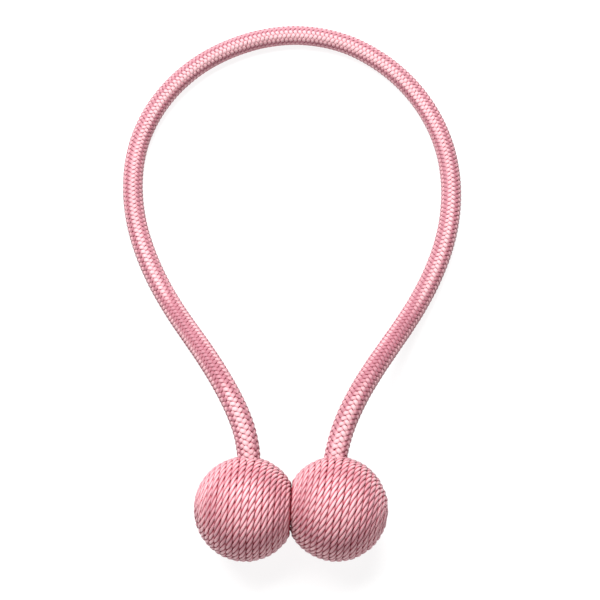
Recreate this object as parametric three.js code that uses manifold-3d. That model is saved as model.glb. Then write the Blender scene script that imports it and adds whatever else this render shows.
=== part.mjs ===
// Magnetic curtain tieback: two yarn-wound balls that hold each other by
// their flat inner cheeks, joined by one long braided cord.  The tieback lies
// closed on a surface: the balls side by side on small flat spots, and the
// cord running out of one, round in a wide loop on the surface, and back into
// the other.
//
// Millimetres, +Z up.  Origin: on the surface, midway between the two balls.
// +X from the left ball to the right one, +Y from the balls towards the loop.

import * as THREE from 'three';
import { mergeVertices } from 'three/addons/utils/BufferGeometryUtils.js';
import Module from 'manifold-3d';

const wasm = await Module();
wasm.setup();

// ------------------------------------------------------------ sizes

const ballRadius = 17.5;        // over the crowns of the wound turns
const turnCount = 24;           // turns of yarn from one end of a ball to the other
const turnDepth = 0.5;          // how far the dip between two turns lies below their crowns
const ballSegments = 36;        // facets round one turn
const restHeight = 16.7;        // ball centre above the surface: the small flat spot underneath
const cheekDistance = 15.0;     // ball centre to its flat cheek
const cheekGap = 0.3;           // between the two cheeks
const cheekLeanDeg = 3;         // how far the line between the cheeks leans to the right
const cordGap = 0.3;            // between the cord's end and the small flat that it leaves
const cordDiameter = 8;
const cordSides = 10;
const cordSteps = 28;

// One row for each ball.  side: -1 left, +1 right.  windingLeanDeg: how far
// the turns lean to the right, seen from above.  cordEnd: which end of the
// cord's route leaves it, 0 the first and 1 the last.
const balls = [
  { name: 'ball_left', side: -1, windingLeanDeg: 3, cordEnd: 0 },
  { name: 'ball_right', side: 1, windingLeanDeg: 10, cordEnd: 1 },
];

// The cord's centre line, from the left ball round to the right one.
const route = [
  { x: -14.25, y: 16.4, z: 22.65 },
  { x: -14.8, y: 21.1, z: 23.9 },
  { x: -16.8, y: 27.8, z: 24.6 },
  { x: -20.4, y: 36.1, z: 23.9 },
  { x: -24.9, y: 45.0, z: 21.1 },
  { x: -29.7, y: 53.8, z: 17.1 },
  { x: -34.7, y: 62.4, z: 12.7 },
  { x: -39.9, y: 71.0, z: 8.6 },
  { x: -45.0, y: 79.6, z: 5.6 },
  { x: -50.8, y: 90.1, z: 4.4 },
  { x: -56.5, y: 102.9, z: 4.2 },
  { x: -60.9, y: 117.2, z: 4.15 },
  { x: -63.0, y: 133.0, z: 4.15 },
  { x: -62.1, y: 149.0, z: 4.15 },
  { x: -57.6, y: 164.3, z: 4.15 },
  { x: -49.7, y: 178.2, z: 4.15 },
  { x: -38.8, y: 189.8, z: 4.15 },
  { x: -25.4, y: 198.4, z: 4.15 },
  { x: -10.3, y: 203.7, z: 4.15 },
  { x: 5.6, y: 204.7, z: 4.15 },
  { x: 22.4, y: 200.4, z: 4.15 },
  { x: 37.3, y: 190.6, z: 4.15 },
  { x: 48.1, y: 178.8, z: 4.15 },
  { x: 56.0, y: 165.0, z: 4.15 },
  { x: 60.9, y: 149.8, z: 4.15 },
  { x: 62.6, y: 133.9, z: 4.15 },
  { x: 61.3, y: 118.0, z: 4.15 },
  { x: 57.6, y: 103.4, z: 4.2 },
  { x: 52.3, y: 90.4, z: 4.4 },
  { x: 46.8, y: 79.8, z: 5.5 },
  { x: 41.8, y: 71.1, z: 7.9 },
  { x: 36.7, y: 62.6, z: 11.3 },
  { x: 31.6, y: 54.0, z: 15.1 },
  { x: 26.6, y: 45.3, z: 18.5 },
  { x: 22.0, y: 36.4, z: 21.1 },
  { x: 18.4, y: 28.2, z: 22.1 },
  { x: 16.2, y: 21.6, z: 21.8 },
  { x: 15.15, y: 16.9, z: 20.9 },
];

// ------------------------------------------------------------ materials

const yarn = new THREE.MeshStandardMaterial({ color: 0xd98d9a, roughness: 0.55, metalness: 0 });
const braid = new THREE.MeshStandardMaterial({ color: 0xeba9b4, roughness: 0.5, metalness: 0 });

// ------------------------------------------------------------ helpers

const rad = (deg) => (deg * Math.PI) / 180;

function toManifold(geometry, matrix) {
  const g = geometry.clone();
  if (matrix) g.applyMatrix4(matrix);
  g.deleteAttribute('normal');
  g.deleteAttribute('uv');
  const merged = mergeVertices(g, 1e-5);
  const index = merged.index.array;
  const tris = [];
  for (let i = 0; i < index.length; i += 3) {
    const [a, b, c] = [index[i], index[i + 1], index[i + 2]];
    if (a !== b && b !== c && c !== a) tris.push(a, b, c);
  }
  return new wasm.Manifold(new wasm.Mesh({
    numProp: 3,
    vertProperties: new Float32Array(merged.attributes.position.array),
    triVerts: new Uint32Array(tris),
  }));
}

function toGeometry(solid) {
  const mesh = solid.getMesh();
  const g = new THREE.BufferGeometry();
  g.setAttribute('position', new THREE.BufferAttribute(new Float32Array(mesh.vertProperties), 3));
  g.setIndex(new THREE.BufferAttribute(new Uint32Array(mesh.triVerts), 1));
  g.computeVertexNormals();
  return g;
}

// The block of everything further along `normal` than `distance` from `centre`.
function beyond(centre, normal, distance) {
  const size = 4 * ballRadius;
  const turn = new THREE.Quaternion().setFromUnitVectors(new THREE.Vector3(0, 0, 1), normal);
  const middle = centre.clone().addScaledVector(normal, distance + size / 2);
  return toManifold(
    new THREE.BoxGeometry(size, size, size),
    new THREE.Matrix4().compose(middle, turn, new THREE.Vector3(1, 1, 1)),
  );
}

// ------------------------------------------------------------ cord's line

const centreLine = new THREE.CatmullRomCurve3(
  route.map(({ x, y, z }) => new THREE.Vector3(x, y, z)), false, 'centripetal');

// ------------------------------------------------------------ balls

// Half outline of a wound ball: one crown for each turn, a dip between turns,
// starting and ending on the winding's axis.
function woundProfile() {
  const points = [new THREE.Vector2(0, -ballRadius + turnDepth)];
  const step = Math.PI / turnCount;
  for (let i = 0; i < turnCount; i += 1) {
    const crown = -Math.PI / 2 + (i + 0.5) * step;
    const dip = -Math.PI / 2 + (i + 1) * step;
    points.push(new THREE.Vector2(ballRadius * Math.cos(crown), ballRadius * Math.sin(crown)));
    const r = ballRadius - turnDepth;
    if (i < turnCount - 1) points.push(new THREE.Vector2(r * Math.cos(dip), r * Math.sin(dip)));
  }
  points.push(new THREE.Vector2(0, ballRadius - turnDepth));
  return points;
}

function woundBall({ side, windingLeanDeg, cordEnd }) {
  const lean = rad(cheekLeanDeg);
  const cheekNormal = new THREE.Vector3(-side * Math.cos(lean), side * Math.sin(lean), 0);
  const centre = new THREE.Vector3(side * (cheekDistance + cheekGap / 2), 0, restHeight);
  // The lathe turns about Y; the winding's axis lies level, along X but for its lean.
  const axis = new THREE.Vector3(Math.cos(rad(windingLeanDeg)), -Math.sin(rad(windingLeanDeg)), 0);
  const place = new THREE.Matrix4().compose(
    centre,
    new THREE.Quaternion().setFromUnitVectors(new THREE.Vector3(0, 1, 0), axis),
    new THREE.Vector3(1, 1, 1),
  );
  // The small flat where the cord leaves lies square to the cord's own end.
  const start = centreLine.getPoint(cordEnd);
  const outward = centreLine.getTangent(cordEnd).multiplyScalar(cordEnd === 0 ? 1 : -1);
  const cordFace = start.clone().sub(centre).dot(outward) - cordGap;
  const wound = toManifold(new THREE.LatheGeometry(woundProfile(), ballSegments), place);
  return toGeometry(
    wound
      .subtract(beyond(centre, cheekNormal, cheekDistance))
      .subtract(beyond(centre, new THREE.Vector3(0, 0, -1), restHeight))
      .subtract(beyond(centre, outward, cordFace)),
  );
}

// ------------------------------------------------------------ cord

function cordGeometry() {
  const section = new THREE.Shape();
  for (let i = 0; i < cordSides; i += 1) {
    const a = (2 * Math.PI * i) / cordSides;
    const x = (cordDiameter / 2) * Math.cos(a);
    const y = (cordDiameter / 2) * Math.sin(a);
    if (i === 0) section.moveTo(x, y);
    else section.lineTo(x, y);
  }
  section.closePath();
  return new THREE.ExtrudeGeometry(section, {
    steps: cordSteps, bevelEnabled: false, extrudePath: centreLine, curveSegments: 1,
  });
}

// ------------------------------------------------------------ assembly

const tieback = new THREE.Group();

for (const row of balls) {
  const mesh = new THREE.Mesh(woundBall(row), yarn);
  mesh.name = row.name;
  tieback.add(mesh);
}

const cord = new THREE.Mesh(cordGeometry(), braid);
cord.name = 'braided_cord';
tieback.add(cord);

export default tieback;
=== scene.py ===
import math

import bpy
import numpy as np
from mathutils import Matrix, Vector


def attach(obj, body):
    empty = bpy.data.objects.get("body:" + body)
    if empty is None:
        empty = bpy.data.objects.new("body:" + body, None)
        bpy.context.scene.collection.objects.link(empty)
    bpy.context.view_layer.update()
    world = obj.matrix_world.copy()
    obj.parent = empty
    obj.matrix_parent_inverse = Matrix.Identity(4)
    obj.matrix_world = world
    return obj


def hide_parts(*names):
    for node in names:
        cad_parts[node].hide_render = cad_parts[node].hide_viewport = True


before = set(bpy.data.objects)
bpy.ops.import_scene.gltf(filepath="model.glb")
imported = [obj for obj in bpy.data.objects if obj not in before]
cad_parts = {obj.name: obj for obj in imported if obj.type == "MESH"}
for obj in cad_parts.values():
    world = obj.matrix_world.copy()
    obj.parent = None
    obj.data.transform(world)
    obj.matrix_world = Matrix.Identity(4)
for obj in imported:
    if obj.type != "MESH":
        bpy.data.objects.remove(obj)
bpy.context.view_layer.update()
rng = np.random.default_rng(7)
scene = bpy.context.scene

# ------------------------------------------------------------ sizes, in metres

MM = 0.001
BALL_RADIUS = 17.5 * MM          # over the crowns of the wound strand
REST_HEIGHT = 16.7 * MM          # ball centre above the surface
CHEEK_DISTANCE = 15.0 * MM       # ball centre to its flat cheek
CHEEK_GAP = 0.3 * MM
CHEEK_LEAN = math.radians(3)
TURN_ANGLE = math.radians(7.5)   # from one turn of strand to the next
STRAND_RADIUS = 1.15 * MM
STRAND_WIDTH = 1.25 * MM         # half of it; the turns are pressed into one another
PLIES = 4
PLY_PITCH = 2.7 * MM             # from one ply's crown to the next, along the strand
CORD_RADIUS = 4.0 * MM
CORD_INSIDE = 3.5 * MM           # how far the cord runs on into each ball

BRAID_YARNS = 7                  # in each direction
BRAID_OVER = 1                   # yarns of the other hand that each one passes over, then under
STITCH_PITCH = 1.93 * MM         # along the cord
YARN_WIDTH = 1.70 * MM
YARN_THICKNESS = 0.68 * MM
YARN_WAVE = 0.28 * MM

BALLS = [
    {"name": "ball_left", "side": -1, "lean": math.radians(3), "end": 0, "seed": 3},
    {"name": "ball_right", "side": 1, "lean": math.radians(10), "end": -1, "seed": 11},
]

ROUTE = [
    (-14.25, 16.4, 22.65), (-14.8, 21.1, 23.9), (-16.8, 27.8, 24.6), (-20.4, 36.1, 23.9),
    (-24.9, 45.0, 21.1), (-29.7, 53.8, 17.1), (-34.7, 62.4, 12.7), (-39.9, 71.0, 8.6),
    (-45.0, 79.6, 5.6), (-50.8, 90.1, 4.4), (-56.5, 102.9, 4.2), (-60.9, 117.2, 4.15),
    (-63.0, 133.0, 4.15), (-62.1, 149.0, 4.15), (-57.6, 164.3, 4.15), (-49.7, 178.2, 4.15),
    (-38.8, 189.8, 4.15), (-25.4, 198.4, 4.15), (-10.3, 203.7, 4.15), (5.6, 204.7, 4.15),
    (22.4, 200.4, 4.15), (37.3, 190.6, 4.15), (48.1, 178.8, 4.15), (56.0, 165.0, 4.15),
    (60.9, 149.8, 4.15), (62.6, 133.9, 4.15), (61.3, 118.0, 4.15), (57.6, 103.4, 4.2),
    (52.3, 90.4, 4.4), (46.8, 79.8, 5.5), (41.8, 71.1, 7.9), (36.7, 62.6, 11.3),
    (31.6, 54.0, 15.1), (26.6, 45.3, 18.5), (22.0, 36.4, 21.1), (18.4, 28.2, 22.1),
    (16.2, 21.6, 21.8), (15.15, 16.9, 20.9),
]

# ------------------------------------------------------------ camera

eye = bpy.data.cameras.new("camera")
eye.sensor_width = 36
eye.lens = 67.4
eye.clip_start, eye.clip_end = 0.01, 20
camera = bpy.data.objects.new("camera", eye)
camera.location = (0.00302, -0.0920, 0.3889)
camera.rotation_euler = (math.radians(24.4), 0, 0)
scene.collection.objects.link(camera)
scene.camera = camera

# ------------------------------------------------------------ helpers


def unit(v):
    v = np.asarray(v, float)
    return v / np.maximum(np.linalg.norm(v, axis=-1, keepdims=True), 1e-12)


def smooth(x):
    x = np.clip(x, 0, 1)
    return x * x * (3 - 2 * x)


def squarish(x, power):
    return np.sign(x) * np.abs(x) ** power


def wave_noise(x, seed, period, octaves=3):
    """Smooth noise of one variable, about -1 to 1, from a few sines."""
    r = np.random.default_rng(seed)
    out = np.zeros_like(np.asarray(x, float))
    for k in range(octaves):
        for _ in range(3):
            f = 2 * math.pi / (period / 2**k) * r.uniform(0.7, 1.4)
            out += np.sin(f * x + r.uniform(0, 2 * math.pi)) / (3 * 1.5**k)
    return out / 1.4


def line_through(points, per=24):
    """Centripetal Catmull-Rom through the points, evenly dense."""
    p, out = np.array(points, float), []
    for i in range(len(p) - 1):
        p1, p2 = p[i], p[i + 1]
        p0 = p[i - 1] if i > 0 else 2 * p[0] - p[1]
        p3 = p[i + 2] if i + 2 < len(p) else 2 * p[-1] - p[-2]
        d0, d1, d2 = (math.sqrt(np.linalg.norm(b - a)) for a, b in ((p0, p1), (p1, p2), (p2, p3)))
        t1 = ((p1 - p0) / d0 - (p2 - p0) / (d0 + d1) + (p2 - p1) / d1) * d1
        t2 = ((p2 - p1) / d1 - (p3 - p1) / (d1 + d2) + (p3 - p2) / d2) * d1
        u = np.linspace(0, 1, per, endpoint=False)[:, None]
        out.append(p1 + t1 * u + (-3 * p1 + 3 * p2 - 2 * t1 - t2) * u**2 + (2 * p1 - 2 * p2 + t1 + t2) * u**3)
    out.append(p[-1][None])
    return np.vstack(out)


def lengths(points):
    return np.r_[0, np.cumsum(np.linalg.norm(np.diff(points, axis=0), axis=1))]


def along(points, s):
    d = lengths(points)
    return np.stack([np.interp(s, d, points[:, k]) for k in range(3)], 1)


def sweep(rings):
    """Quads round closed rings (steps, sides, 3), ends closed, with the numbers that a mesh needs."""
    n, m = rings.shape[:2]
    i, j = np.meshgrid(np.arange(n - 1), np.arange(m), indexing="ij")
    a, b = i * m + j, i * m + (j + 1) % m
    quads = np.stack([a, b, b + m, a + m], -1).reshape(-1, 4)
    steps = np.stack([i, i, i + 1, i + 1], -1).reshape(-1, 4)
    sides = np.stack([j, j + 1, j + 1, j], -1).reshape(-1, 4)
    return quads, steps, sides


class Shape:
    """Collects swept tubes into one mesh with a UV map and, at each point, a 'crown' value (which sets the painted
    shade) and the 'round' direction: straight out of the cord or ball as a whole."""

    def __init__(self):
        self.points, self.quads, self.caps, self.uv, self.count = [], [], [], [], 0
        self.crown, self.round = [], []

    def tube(self, rings, v, crown, outward, turn=0.0):
        n, m = rings.shape[:2]
        quads, steps, sides = sweep(rings)
        self.points.append(rings.reshape(-1, 3))
        self.quads.append(quads + self.count)
        self.uv.append(np.stack([sides / m + turn, v[steps]], -1).reshape(-1, 2))
        self.crown.append(np.broadcast_to(crown, (n, m)).reshape(-1))
        self.round.append(np.broadcast_to(outward, (n, m, 3)).reshape(-1, 3))
        first = self.count + np.arange(m)[::-1]
        last = self.count + (n - 1) * m + np.arange(m)
        self.caps += [first, last]
        self.count += n * m

    def build(self, name, material):
        points, quads = np.vstack(self.points), np.vstack(self.quads)
        loops = np.concatenate([quads.ravel()] + self.caps)
        sizes = np.concatenate([np.full(len(quads), 4), [len(c) for c in self.caps]]).astype(np.int32)
        starts = np.r_[0, np.cumsum(sizes)[:-1]].astype(np.int32)
        mesh = bpy.data.meshes.new(name)
        mesh.vertices.add(len(points))
        mesh.vertices.foreach_set("co", points.astype(np.float32).ravel())
        mesh.loops.add(len(loops))
        mesh.loops.foreach_set("vertex_index", loops.astype(np.int32))
        mesh.polygons.add(len(sizes))
        mesh.polygons.foreach_set("loop_start", starts)
        mesh.update(calc_edges=True)
        mesh.polygons.foreach_set("use_smooth", np.ones(len(sizes), bool))
        uv = mesh.uv_layers.new(name="lay")
        flat = np.zeros((len(loops), 2), np.float32)
        body = np.vstack(self.uv)
        flat[: len(body)] = body
        uv.data.foreach_set("uv", flat.ravel())
        crown = mesh.attributes.new("crown", "FLOAT", "POINT")
        crown.data.foreach_set("value", np.concatenate(self.crown).astype(np.float32))
        whole = mesh.attributes.new("round", "FLOAT_VECTOR", "POINT")
        whole.data.foreach_set("vector", np.vstack(self.round).astype(np.float32).ravel())
        mesh.validate()
        mesh.update()
        piece = bpy.data.objects.new(name, mesh)
        scene.collection.objects.link(piece)
        mesh.materials.append(material)
        return piece


# ------------------------------------------------------------ materials


def node(tree, kind, at, **values):
    n = tree.nodes.new(kind)
    n.location = at
    for key, value in values.items():
        if key in n.inputs:
            n.inputs[key].default_value = value
        else:
            setattr(n, key, value)
    return n


def silk(name, deep, middle, light, fibre_u, fibre_v, roughness, sheen, coat, edge,
         flank, gleam, anisotropic):
    """Shiny filament yarn with painted shade: darker down between the strands, paler as if lit on their crowns,
    and darker in a band on the flanks; with fine filaments along each strand and slow drifts of colour."""
    mat = bpy.data.materials.new(name)
    mat.use_nodes = True
    tree = mat.node_tree
    tree.nodes.clear()
    link = tree.links.new
    out = node(tree, "ShaderNodeOutputMaterial", (900, 0))
    shader = node(tree, "ShaderNodeBsdfPrincipled", (600, 0))
    shader.inputs["Roughness"].default_value = roughness
    shader.inputs["IOR"].default_value = 1.55
    shader.inputs["Sheen Weight"].default_value = sheen
    shader.inputs["Sheen Roughness"].default_value = 0.35
    shader.inputs["Sheen Tint"].default_value = (1.0, 0.66, 0.71, 1)
    shader.inputs["Coat Weight"].default_value = coat
    shader.inputs["Coat Roughness"].default_value = 0.48
    shader.inputs["Coat IOR"].default_value = 1.7
    shader.inputs["Anisotropic"].default_value = anisotropic
    link(shader.outputs["BSDF"], out.inputs["Surface"])

    crown = node(tree, "ShaderNodeAttribute", (-900, 300), attribute_name="crown")
    uv = node(tree, "ShaderNodeUVMap", (-1500, -100), uv_map="lay")
    place = node(tree, "ShaderNodeTexCoord", (-1500, 200))
    fine = node(tree, "ShaderNodeMapping", (-1250, -100))
    fine.inputs["Scale"].default_value = (fibre_u, fibre_v, 1)
    link(uv.outputs["UV"], fine.inputs["Vector"])
    fibres = node(tree, "ShaderNodeTexNoise", (-1050, -100))
    fibres.inputs["Scale"].default_value = 1.0
    fibres.inputs["Detail"].default_value = 3
    link(fine.outputs["Vector"], fibres.inputs["Vector"])
    drift = node(tree, "ShaderNodeTexNoise", (-1050, 150))
    drift.inputs["Scale"].default_value = 60
    drift.inputs["Detail"].default_value = 2
    link(place.outputs["Object"], drift.inputs["Vector"])

    # how far up the crown, shifted a little by the filaments; the ramp then paints shade low down and a paler, lit
    # colour on top
    lift = node(tree, "ShaderNodeMath", (-700, 250), operation="MULTIPLY_ADD")
    link(fibres.outputs["Fac"], lift.inputs[0])
    lift.inputs[1].default_value = 0.30
    link(crown.outputs["Fac"], lift.inputs[2])
    level = node(tree, "ShaderNodeMath", (-520, 250), operation="SUBTRACT")
    link(lift.outputs[0], level.inputs[0])
    level.inputs[1].default_value = 0.15
    ramp = node(tree, "ShaderNodeValToRGB", (-340, 250))
    ramp.color_ramp.elements[0].position, ramp.color_ramp.elements[0].color = 0.0, (*deep, 1)
    ramp.color_ramp.elements[1].position, ramp.color_ramp.elements[1].color = 1.0, (*light, 1)
    mid = ramp.color_ramp.elements.new(0.45)
    mid.color = (*middle, 1)
    link(level.outputs[0], ramp.inputs["Fac"])
    hue = node(tree, "ShaderNodeHueSaturation", (0, 250))
    shade = node(tree, "ShaderNodeMapRange", (-340, 0))
    shade.inputs["From Min"].default_value, shade.inputs["From Max"].default_value = 0.3, 0.7
    shade.inputs["To Min"].default_value, shade.inputs["To Max"].default_value = 0.93, 1.05
    link(drift.outputs["Fac"], shade.inputs["Value"])
    link(ramp.outputs["Color"], hue.inputs["Color"])
    # painted shade: in a band partway round the flanks of the cord or ball as a whole, seen at a slant, the colour is
    # made darker and more maroon; face-on and at the very rim it is left as it is
    whole = node(tree, "ShaderNodeAttribute", (-900, -300), attribute_name="round")
    turned = node(tree, "ShaderNodeVectorTransform", (-730, -300), vector_type="NORMAL")
    turned.convert_from, turned.convert_to = "OBJECT", "WORLD"
    link(whole.outputs["Vector"], turned.inputs["Vector"])
    turned_away = node(tree, "ShaderNodeLayerWeight", (-560, -300))
    turned_away.inputs["Blend"].default_value = 0.5
    link(turned.outputs["Vector"], turned_away.inputs["Normal"])
    flanks = node(tree, "ShaderNodeValToRGB", (-400, -300))
    flanks.color_ramp.interpolation = "EASE"
    stops = [(0.0, 0.0), (flank[0], 0.0), (flank[1], 1.0), (0.34, 1.0), (0.51, 0.25), (1.0, 0.0)]
    for k, (position, value) in enumerate(stops):
        stop = flanks.color_ramp.elements[0] if k == 0 else flanks.color_ramp.elements.new(position)
        stop.position, stop.color = position, (value, value, value, 1)
    while len(flanks.color_ramp.elements) > len(stops):
        flanks.color_ramp.elements.remove(flanks.color_ramp.elements[-1])
    link(turned_away.outputs["Facing"], flanks.inputs["Fac"])
    part = node(tree, "ShaderNodeMath", (-130, -300), operation="MULTIPLY")
    part.inputs[1].default_value = edge
    link(flanks.outputs["Color"], part.inputs[0])
    link(shade.outputs["Result"], hue.inputs["Value"])
    painted_flank_shade = tree.nodes.new("ShaderNodeMix")
    painted_flank_shade.location = (220, 250)
    painted_flank_shade.data_type, painted_flank_shade.blend_type = "RGBA", "MULTIPLY"
    link(part.outputs[0], painted_flank_shade.inputs["Factor"])
    link(hue.outputs["Color"], painted_flank_shade.inputs[6])
    painted_flank_shade.inputs[7].default_value = (0.42, 0.15, 0.24, 1)
    link(painted_flank_shade.outputs[2], shader.inputs["Base Color"])

    gloss = node(tree, "ShaderNodeMapRange", (0, -60))
    gloss.inputs["From Min"].default_value, gloss.inputs["From Max"].default_value = 0.3, 0.7
    gloss.inputs["To Min"].default_value = roughness - 0.06
    gloss.inputs["To Max"].default_value = roughness + 0.10
    link(fibres.outputs["Fac"], gloss.inputs["Value"])
    link(gloss.outputs["Result"], shader.inputs["Roughness"])

    # down between the strands hardly any gloss gets out again
    open_part = node(tree, "ShaderNodeMapRange", (0, -500))
    open_part.inputs["From Min"].default_value, open_part.inputs["From Max"].default_value = 0.3, 0.85
    open_part.inputs["To Min"].default_value, open_part.inputs["To Max"].default_value = 0.0, gleam
    link(crown.outputs["Fac"], open_part.inputs["Value"])
    link(open_part.outputs["Result"], shader.inputs["Specular IOR Level"])

    bump = node(tree, "ShaderNodeBump", (200, -260))
    bump.inputs["Strength"].default_value = 0.6
    bump.inputs["Distance"].default_value = 0.00006
    link(fibres.outputs["Fac"], bump.inputs["Height"])
    link(bump.outputs["Normal"], shader.inputs["Normal"])
    tangent = node(tree, "ShaderNodeTangent", (200, -460), direction_type="UV_MAP", uv_map="lay")
    link(tangent.outputs["Tangent"], shader.inputs["Tangent"])
    return mat


YARN = silk(
    "wound_yarn", deep=(0.36, 0.012, 0.035), middle=(0.68, 0.34, 0.38), light=(0.79, 0.44, 0.465),
    fibre_u=14, fibre_v=300, roughness=0.34, sheen=0.06, coat=0.35, edge=0.42,
    flank=(0.01, 0.30), gleam=0.22, anisotropic=0.0)
BRAID = silk(
    "braid", deep=(0.36, 0.030, 0.060), middle=(0.665, 0.375, 0.405), light=(0.745, 0.475, 0.495),
    fibre_u=16, fibre_v=260, roughness=0.46, sheen=0.06, coat=0.08, edge=0.68,
    flank=(0.12, 0.24), gleam=0.08, anisotropic=0.8)

# ------------------------------------------------------------ cord

cord_line = line_through(np.array(ROUTE) * MM)
cord_length = float(lengths(cord_line)[-1])
cord_line = along(cord_line, np.linspace(0, cord_length, 4000))
for _ in range(3):  # takes the small kinks out of the joins between points
    cord_line[20:-20] = (cord_line[:-40] + 2 * cord_line[20:-20] + cord_line[40:]) / 4
cord_length = float(lengths(cord_line)[-1])

first = unit(cord_line[0] - cord_line[12])
last = unit(cord_line[-1] - cord_line[-13])
whole_line = np.vstack([
    cord_line[0] + first * CORD_INSIDE * np.linspace(1, 0, 20, endpoint=False)[:, None],
    cord_line,
    cord_line[-1] + last * CORD_INSIDE * np.linspace(0, 1, 21)[1:, None],
])
whole_length = float(lengths(whole_line)[-1])


def frames(points):
    """Tangents and a side and a face direction at each point that turn as little as they can."""
    t = unit(np.gradient(points, axis=0))
    side = np.zeros_like(points)
    v = unit(np.cross(t[0], (0, 0, 1)))
    for k in range(len(points)):
        v = v - (v @ t[k]) * t[k]
        v = v / np.linalg.norm(v)
        side[k] = v
    return t, side, np.cross(t, side)


STEP = 0.25 * MM
base_s = np.arange(0, whole_length + STEP, STEP)
base_points = along(whole_line, base_s)
base_t, base_n, base_b = frames(base_points)
# the cord was braided straight and has a little slow twist from handling
base_twist = 0.12 * wave_noise(base_s, 5, 0.30) + 0.05 * wave_noise(base_s, 6, 0.09)


def around(s, angle, radius):
    """Points round the cord, and the outward and along directions there."""
    at = [np.interp(s, base_s, a) for a in (*base_points.T, *base_n.T, *base_b.T, *base_t.T, base_twist)]
    p, n, b, t = (np.stack(at[k : k + 3], -1) for k in (0, 3, 6, 9))
    a = angle + at[12]
    out = np.cos(a)[..., None] * n + np.sin(a)[..., None] * b
    return p + radius[..., None] * out, out, t


def braid(direction, name):
    """All the yarns of one hand.  Where a yarn passes over and where under depends only on its place
    round the cord, so the stitches stand in straight columns, one hand's beside the other's."""
    n = BRAID_YARNS
    lay = n * STITCH_PITCH
    repeat = 2 * BRAID_OVER
    shape = Shape()
    outer = CORD_RADIUS - YARN_THICKNESS / 2 - YARN_WAVE
    rings_s = np.arange(0, whole_length, 0.33 * MM)
    # one hand was braided a little tighter, and its columns lie slightly lower
    proud = 1.0 if direction < 0 else 0.86
    # the yarn's own section: across, and up
    corners = np.radians([90, 61, 32, 0, -50, -130, 180, 148, 119])
    across, up = np.cos(corners), np.sin(corners)
    up = np.where(up < 0, up * 0.8, up)
    for k in range(n):
        drift = 0.015 * wave_noise(rings_s, 100 + k + 50 * direction, 0.06)
        angle = direction * 2 * math.pi * rings_s / lay + 2 * math.pi * k / n
        # crossings of the other hand, 0 at the middle of this hand's column
        own = BRAID_OVER
        c = angle * n / math.pi - (0 if direction < 0 else repeat / 2)
        c = (c + repeat / 2) % repeat - repeat / 2
        rise = np.clip((own / 2 - np.abs(c)) / 0.95 + 0.5, 0, 1)
        phase = 2 * smooth(rise) - 1
        bow = 0.5 + 0.5 * np.cos(2 * math.pi * c / repeat)
        radius = outer + YARN_WAVE * proud * (0.5 * phase + 0.5 * (2 * bow - 1))
        centre, out, t = around(rings_s, angle + drift, radius)
        run = unit(np.gradient(centre, axis=0))
        sideways = unit(np.cross(run, out))
        outward = np.cross(sideways, run)
        width = YARN_WIDTH / 2 * (1 + 0.05 * wave_noise(rings_s, 300 + k + 50 * direction, 0.02))
        width = width * (0.84 + 0.16 * bow)
        thick = YARN_THICKNESS / 2 * np.ones_like(width)
        rings = (
            centre[:, None]
            + (width[:, None] * across)[..., None] * sideways[:, None]
            + (thick[:, None] * up)[..., None] * outward[:, None]
        )
        # painted shade: the colour is darker where a yarn dives under the other hand and down its sides, and paler, as
        # if lit, on the middle of each stitch
        crown = (bow**1.3)[:, None] * (0.10 + 0.90 * np.clip(up, 0, 1) ** 1.3)[None, :]
        # painted shade: the right hand's yarns are painted darker than the left's, in place of light glancing
        # differently off yarns laid the other way
        crown = crown * (1.0 if direction < 0 else 0.72)
        v = rings_s / np.cos(math.atan(2 * math.pi * outer / lay))
        shape.tube(rings, v, crown, out[:, None], turn=k * 0.37)
    return shape.build(name, BRAID)


def core():
    """The cord's filling, just seen at the bottom of the gaps between yarns, painted in the deepest colour as shade.
    """
    shape = Shape()
    s = np.linspace(0, whole_length, 420)
    angles = np.linspace(0, 2 * math.pi, 20, endpoint=False)
    rings, out, _ = around(s[:, None] + 0 * angles, 0 * s[:, None] + angles, 0 * s[:, None] + 0 * angles + 3.15 * MM)
    shape.tube(rings, s, 0.0, out)
    return shape.build("cord_core", BRAID)


cord_core = core()
braid_left_hand = braid(-1, "braid_left_hand")
braid_right_hand = braid(1, "braid_right_hand")
for piece in (cord_core, braid_left_hand, braid_right_hand):
    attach(piece, "root")
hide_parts("braided_cord")

# ------------------------------------------------------------ balls


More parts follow.
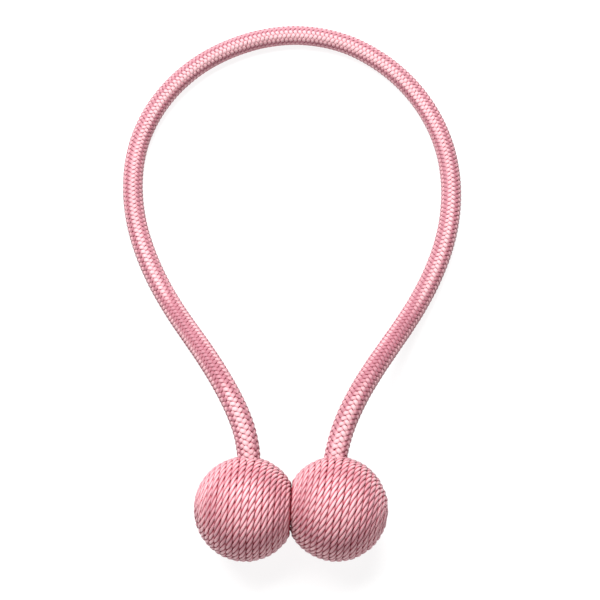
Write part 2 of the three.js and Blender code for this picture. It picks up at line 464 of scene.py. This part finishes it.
def wound(side, lean, end, seed, name):
    centre = np.array([side * (CHEEK_DISTANCE + CHEEK_GAP / 2), 0, REST_HEIGHT])
    axis = np.array([math.cos(lean), -math.sin(lean), 0])
    up = np.array([0, 0, 1.0])
    front = np.cross(up, axis)                       # away from the viewer
    cheek = np.array([-side * math.cos(CHEEK_LEAN), side * math.sin(CHEEK_LEAN), 0])
    exit_line = unit(cord_line[end] - centre)
    path_radius = BALL_RADIUS - STRAND_RADIUS

    # a spiral of turns round the axis, from the outer end to the cheek
    start, stop = math.radians(4.4), math.pi - math.radians(4.4)
    turns = (stop - start) / TURN_ANGLE
    # turns are shifted so that the cord comes out midway between two of them
    e = exit_line
    exit_psi = math.acos(np.clip(e @ (-side * axis) * -1, -1, 1))
    exit_zeta = math.atan2(e @ front, e @ up)
    spin = -side                                        # the way round that the spiral is laid
    psi_fine = np.linspace(start, stop, 60000)
    zeta_fine = (psi_fine - start) / TURN_ANGLE * 2 * math.pi
    at_exit = np.interp(exit_psi, psi_fine, zeta_fine)
    zeta0 = exit_zeta - at_exit + math.pi              # half a turn off the exit's own line

    pole = side * axis                                  # psi is measured from the outer end
    other = np.cross(pole, up)

    def on_ball(psi, zeta, radius):
        z = zeta + zeta0
        d = (
            np.cos(psi)[..., None] * pole
            + np.sin(psi)[..., None] * (np.cos(z)[..., None] * up + np.sin(z)[..., None] * front)
        )
        return d

    d = on_ball(psi_fine, zeta_fine, None)
    s_fine = lengths(d * path_radius)
    step = 0.66 * MM
    s = np.arange(0, s_fine[-1], step)
    psi, zeta = np.interp(s, s_fine, psi_fine), np.interp(s, s_fine, zeta_fine)
    turn_no = zeta / (2 * math.pi)
    # no turn lies quite straight
    psi = psi + math.radians(0.28) * wave_noise(zeta, seed, 9.0) + math.radians(0.16) * wave_noise(zeta, seed + 1, 2.4)
    radius = path_radius + 0.07 * MM * wave_noise(zeta, seed + 2, 7.0)
    d = on_ball(psi, zeta, radius)

    # round the cord the turns part to either side
    hoop = unit(np.cross(axis, e))
    across = np.cross(hoop, e)
    u, v = (d @ across) * radius, (d @ hoop) * radius
    facing = (d @ e) > 0
    hole = 0.55 * CORD_RADIUS                           # pressed tight against the cord
    far = np.abs(u)
    lo, hi = far.copy(), far + hole * 1.5
    for _ in range(40):
        m = (lo + hi) / 2
        value = m * (1 - hole**2 / np.maximum(m**2 + v**2, 1e-12))
        lo, hi = np.where(value < far, m, lo), np.where(value < far, hi, m)
    shifted = (lo + hi) / 2
    reach = np.sqrt(u**2 + v**2)
    fade = 1 - smooth((reach - 6 * MM) / (9 * MM))
    du = np.where(facing, (shifted - far) * fade, 0) * np.sign(u)
    d = unit(d * radius[:, None] + du[:, None] * across)
    p = d * radius[:, None]

    # flat cheek and the small flat spot underneath, each with a rounded edge
    def flatten(p, normal, distance, soft=0.5 * MM):
        x = p @ normal - (distance - STRAND_RADIUS)
        over = 0.5 * (x + np.sqrt(x * x + soft * soft)) - 0.0
        return p - np.maximum(over, 0)[:, None] * normal

    p = flatten(p, cheek, CHEEK_DISTANCE + 0.14 * MM, 0.3 * MM)   # the magnets hold the cheeks together
    p = flatten(p, -up, REST_HEIGHT - 0.05 * MM)
    p = p + centre

    run = unit(np.gradient(p, axis=0))
    outward = d - (d * run).sum(1)[:, None] * run
    outward = unit(outward)
    sideways = np.cross(run, outward)                   # outward x sideways = run, so rising angles are Z twist

    # each turn's plies keep a set shift from the turn beside it
    per_turn = []
    k = 0
    phase = np.zeros_like(s)
    circumference = np.interp(np.arange(0, int(turns) + 2), turn_no, np.r_[s])  # arc length at each whole turn
    base = 0.0
    shift = 0.925
    ply_at_turn = [0.0]
    for i in range(len(circumference) - 1):
        span = circumference[i + 1] - circumference[i]
        count = span / PLY_PITCH
        if span > 8 * MM:
            count = round(count - shift) + shift
        ply_at_turn.append(ply_at_turn[-1] + count)
    plies = np.interp(turn_no, np.arange(len(ply_at_turn)), ply_at_turn)
    plies = plies + 0.20 * wave_noise(zeta, seed + 4, 11.0) + 0.09 * wave_noise(zeta, seed + 9, 0.9)
    angle = 2 * math.pi * plies / PLIES

    per_ply = 7
    m = PLIES * per_ply
    spots = np.arange(m) / m * 2 * math.pi
    local = np.abs(((np.arange(m) % per_ply) / per_ply) * 2 - 1)   # 1 at a groove, 0 at a crown
    lobe = np.sqrt(np.clip(1 - (0.92 * local) ** 2, 0, 1))
    depth = 0.34
    lobe = (lobe - lobe.min()) / (lobe.max() - lobe.min())
    profile = 1 - depth * (1 - lobe)
    turned = spots[None, :] + angle[:, None]
    wide = STRAND_WIDTH * (1 + 0.03 * wave_noise(s, seed + 5, 0.03))
    tall = STRAND_RADIUS * (1 + 0.05 * wave_noise(s, seed + 6, 0.05))
    r = profile[None, :] * (1 + 0.045 * wave_noise(s, seed + 7, 0.02)[:, None])
    # no two plies are quite as full as each other, nor as bright
    full = np.stack([wave_noise(s, seed + 20 + k, 0.016) for k in range(PLIES)], 1)
    full = np.repeat(full, per_ply, axis=1) * lobe[None, :]
    r = r * (1 + 0.05 * full)
    rings = (
        p[:, None]
        + (tall[:, None] * r * squarish(np.cos(turned), 0.55))[..., None] * outward[:, None]
        + (wide[:, None] * r * squarish(np.sin(turned), 1.0))[..., None] * sideways[:, None]
    )
    # painted shade in the grooves between plies and between turns, and a paler, lit colour on each ply's crown
    crown = lobe[None, :] ** 1.75 * np.clip(1.1 * np.cos(turned) - 0.1, 0, 1) ** 1.2
    crown = np.clip(crown * (1 + 0.16 * full), 0, 1)
    # painted shade: the cheeks, pressed together, are painted in the deepest colour, so they are seen only as a dark
    # line
    to_cheek = (rings - centre) @ cheek - (CHEEK_DISTANCE - 0.55 * MM)
    crown = crown * (1 - smooth(to_cheek / (0.5 * MM)))
    shape = Shape()
    shape.tube(rings, s, crown, d[:, None])

    # what lies under the turns, painted in the deepest colour as shade
    rows, cols = 40, 72
    polar = np.linspace(0.02, math.pi - 0.02, rows)[:, None]
    azim = np.linspace(0, 2 * math.pi, cols, endpoint=False)[None, :]
    inner = BALL_RADIUS - 1.55 * STRAND_RADIUS
    q = inner * (
        np.cos(polar)[..., None] * pole
        + np.sin(polar)[..., None] * (np.cos(azim)[..., None] * up + np.sin(azim)[..., None] * front)
    )
    flatq = q.reshape(-1, 3)
    flatq = flatten(flatq, cheek, CHEEK_DISTANCE - 0.4 * MM)
    flatq = flatten(flatq, -up, REST_HEIGHT - 0.4 * MM)
    q = flatq.reshape(q.shape) + centre
    if np.linalg.det(np.stack([pole, up, front])) > 0:
        q = q[:, ::-1]
    shape.tube(q, np.linspace(0, 0.05, rows), 0.0, unit(q - centre))
    ball = shape.build(name + "_winding", YARN)
    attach(ball, "root")
    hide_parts(name)
    return ball


for row in BALLS:
    wound(**row)

# ------------------------------------------------------------ floor and light

floor_mat = bpy.data.materials.new("floor")
floor_mat.use_nodes = True
floor_shader = floor_mat.node_tree.nodes["Principled BSDF"]
floor_shader.inputs["Base Color"].default_value = (0.20, 0.20, 0.20, 1)
floor_shader.inputs["Emission Color"].default_value = (1, 1, 1, 1)
floor_shader.inputs["Emission Strength"].default_value = 0.86
floor_shader.inputs["Roughness"].default_value = 0.9
floor_shader.inputs["Specular IOR Level"].default_value = 0.1
floor_mesh = bpy.data.meshes.new("floor")
floor_mesh.from_pydata([(-12, -12, 0), (12, -12, 0), (12, 12, 0), (-12, 12, 0)], [], [(0, 1, 2, 3)])
floor_mesh.materials.append(floor_mat)
floor = bpy.data.objects.new("floor", floor_mesh)
scene.collection.objects.link(floor)

world = bpy.data.worlds.new("world")
world.use_nodes = True
world.node_tree.nodes["Background"].inputs["Color"].default_value = (1, 1, 1, 1)
world.node_tree.nodes["Background"].inputs["Strength"].default_value = 0.03
scene.world = world


def lamp(name, at, aim, size, power, colour=(1, 1, 1)):
    light = bpy.data.lights.new(name, "AREA")
    light.shape = "RECTANGLE"
    light.size, light.size_y = size
    light.energy = power
    light.color = colour
    o = bpy.data.objects.new(name, light)
    o.location = at
    o.rotation_mode = "QUATERNION"
    o.rotation_quaternion = (Vector(aim) - Vector(at)).to_track_quat("-Z", "Y")
    scene.collection.objects.link(o)
    return o


lamp("softbox", (-0.15, 0.42, 0.70), (0, 0.08, 0), (0.80, 0.52), 15.6)
lamp("low_front", (0.10, -0.50, 0.42), (0, 0.05, 0), (0.25, 0.16), 1.1)

scene.view_settings.view_transform = "Standard"
scene.view_settings.look = "None"
scene.view_settings.exposure = 0
scene.view_settings.gamma = 1
